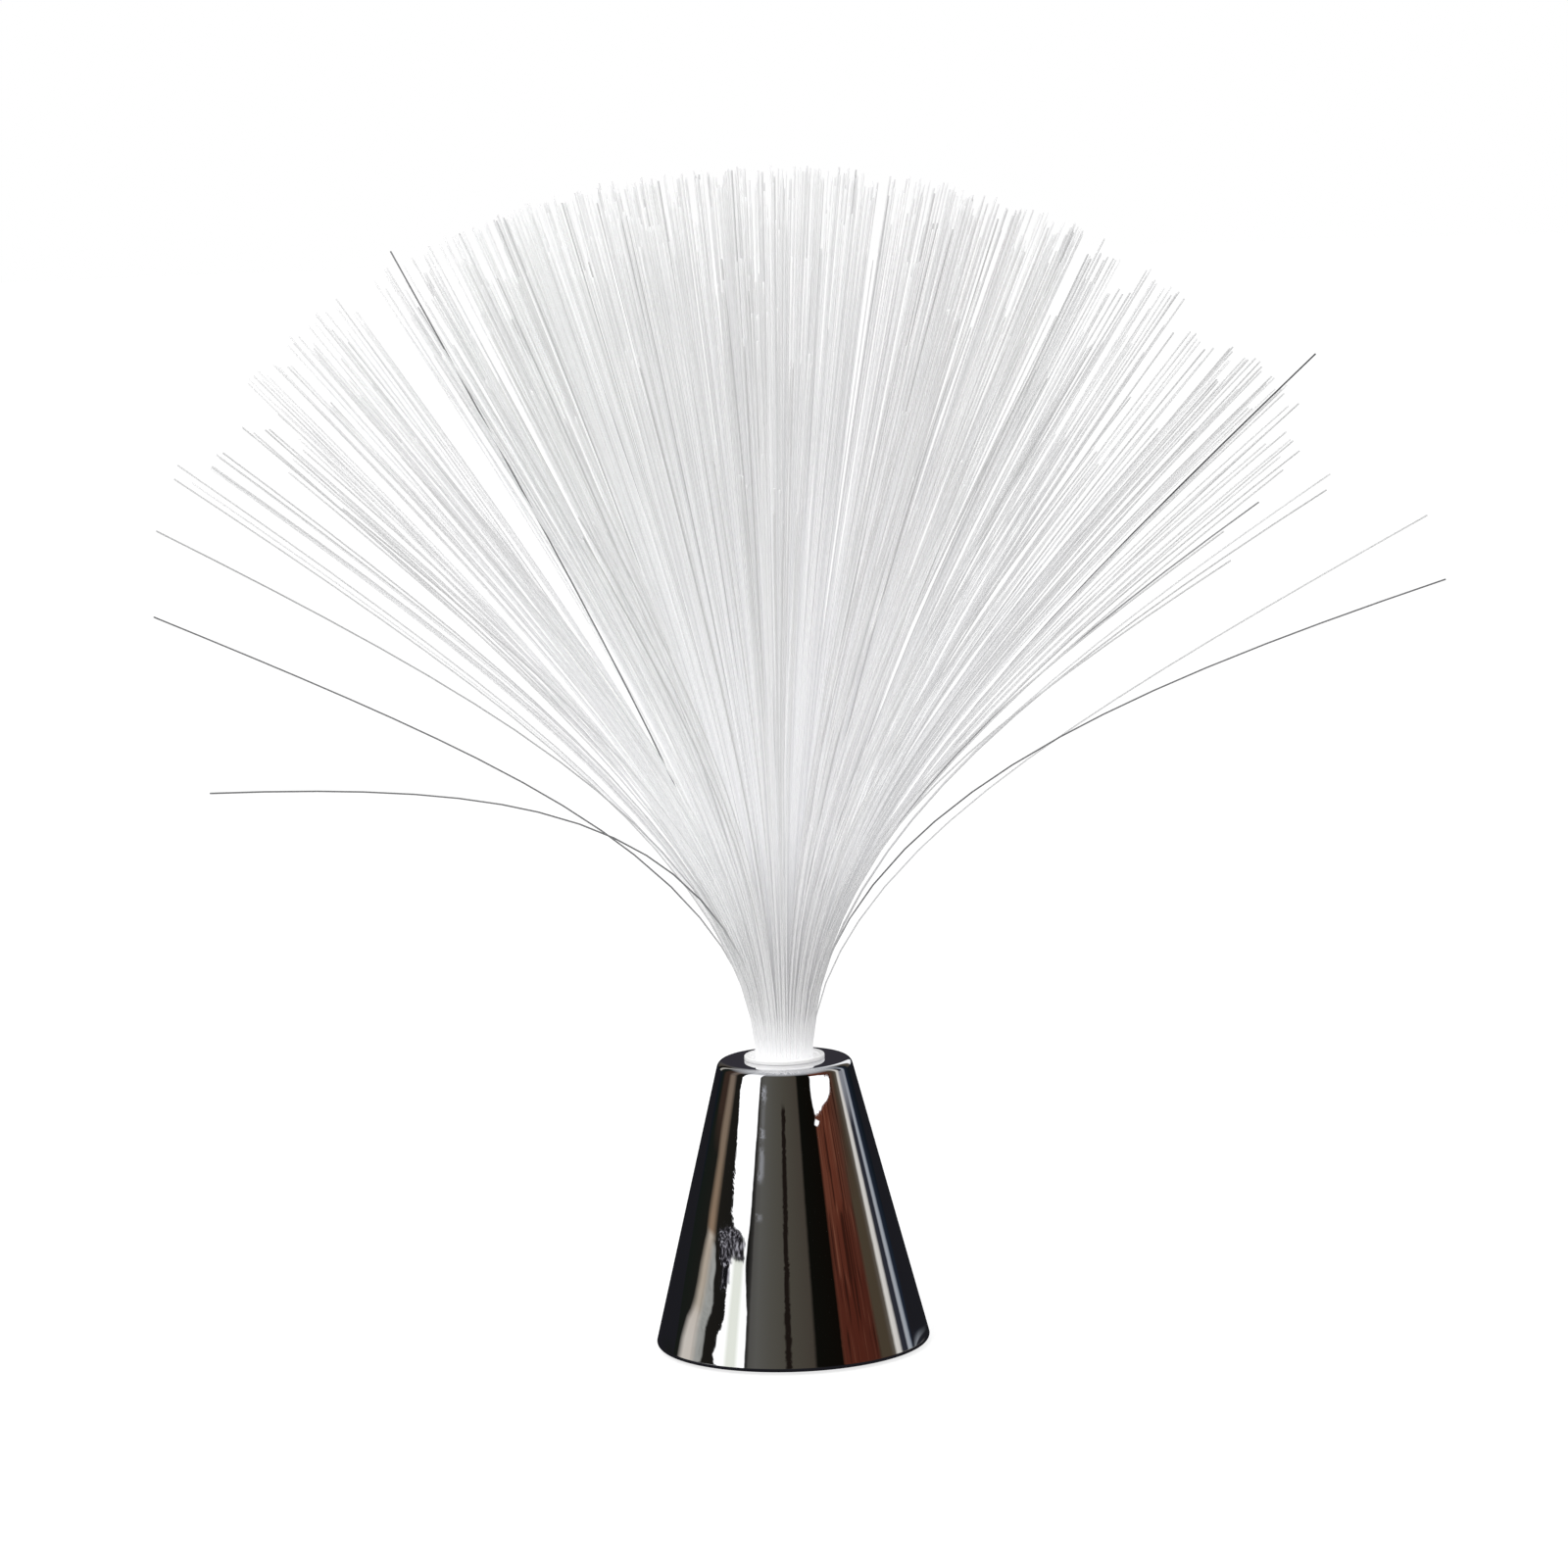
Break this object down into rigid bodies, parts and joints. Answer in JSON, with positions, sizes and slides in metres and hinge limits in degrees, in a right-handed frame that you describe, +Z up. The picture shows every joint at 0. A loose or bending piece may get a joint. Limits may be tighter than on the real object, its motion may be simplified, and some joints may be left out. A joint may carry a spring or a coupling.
{
  "type": "fiber optic lamp",
  "caption": "Small battery table lamp: a chromed truncated cone with a fan-shaped spray of clear light-guiding fibres rising from a white socket in its top.",
  "frame": {"origin": "on the table, on the axis of the cone, below the middle of its underside", "axes": "+Z up along the cone's axis; -Y towards the viewer of the picture; +X to the viewer's right"},
  "size_m": [0.3578, 0.3404, 0.3214],
  "materials": {
    "chromed_plastic": "polished mirror-bright vacuum chrome plating on moulded plastic",
    "opal_plastic": "satin opal white moulding",
    "black_plastic": "fine moulded grain",
    "grey_plastic": "satin",
    "rubber": "matt",
    "steel": "zinc plated",
    "nickel": "nickel plated spring steel",
    "board": "green solder mask",
    "red_lens": "tinted clear epoxy",
    "green_lens": "tinted clear epoxy",
    "blue_lens": "tinted clear epoxy",
    "resistor_body": "lacquered ceramic",
    "cell_wrapper": "plain printed film on a steel can",
    "red_insulation": "soft vinyl",
    "black_insulation": "soft vinyl",
    "clear_fibre": "clear polished acrylic fibre, pale grey in the mass"
  },
  "bodies": {
    "base": {"base_shell": "chromed_plastic", "socket": "opal_plastic", "socket_nut": "black_plastic", "light_tunnel": "opal_plastic", "tunnel_screw_1": "steel", "tunnel_screw_2": "steel", "circuit_board": "board", "board_screw_1": "steel", "board_screw_2": "steel", "led_red": "red_lens", "led_green": "green_lens", "led_blue": "blue_lens", "controller_chip": "black_plastic", "resistor_1": "resistor_body", "resistor_2": "resistor_body", "resistor_3": "resistor_body", "bottom_plate": "black_plastic", "plate_screw_1": "steel", "plate_screw_2": "steel", "plate_screw_3": "steel", "foot_1": "rubber", "foot_2": "rubber", "foot_3": "rubber", "foot_4": "rubber", "switch_body": "grey_plastic", "cell_1": "cell_wrapper", "cell_2": "cell_wrapper", "cell_3": "cell_wrapper", "cell_spring_1": "nickel", "cell_spring_2": "nickel", "cell_spring_3": "nickel", "contact_negative": "nickel", "contact_bridge_1": "nickel", "contact_bridge_2": "nickel", "contact_positive": "nickel", "wire_cell_to_switch": "red_insulation", "wire_switch_to_board": "red_insulation", "wire_cell_to_board": "black_insulation"},
    "switch_knob": {"switch_knob": "opal_plastic"},
    "battery_door": {"battery_door": "black_plastic"},
    "door_screw": {"door_screw": "steel", "door_screw_clip": "steel"},
    "grip_ring": {"grip_ring": "rubber"},
    "spray": {"spray_sleeve": "opal_plastic", "fibres_1": "clear_fibre", "fibres_2": "clear_fibre", "fibres_3": "clear_fibre", "fibres_4": "clear_fibre"}
  },
  "joints": [
    {"name": "spray_lift", "type": "slide", "parent": "base", "child": "grip_ring", "axis": [0, 0, 1], "range_m": [0, 0.025]},
    {"name": "spray_turn", "type": "hinge", "parent": "grip_ring", "child": "spray", "pos_m": [0, 0, 0.0745], "axis": [0, 0, 1], "continuous": true},
    {"name": "switch_slide", "type": "slide", "parent": "base", "child": "switch_knob", "axis": [1, 0, 0], "range_m": [0, 0.004]},
    {"name": "battery_door_off", "type": "slide", "parent": "base", "child": "battery_door", "axis": [0, 0, -1], "range_m": [0, 0.03]},
    {"name": "door_screw_turn", "type": "hinge", "parent": "battery_door", "child": "door_screw", "pos_m": [0, -0.0226, 0.004], "axis": [0, 0, 1], "continuous": true}
  ]
}
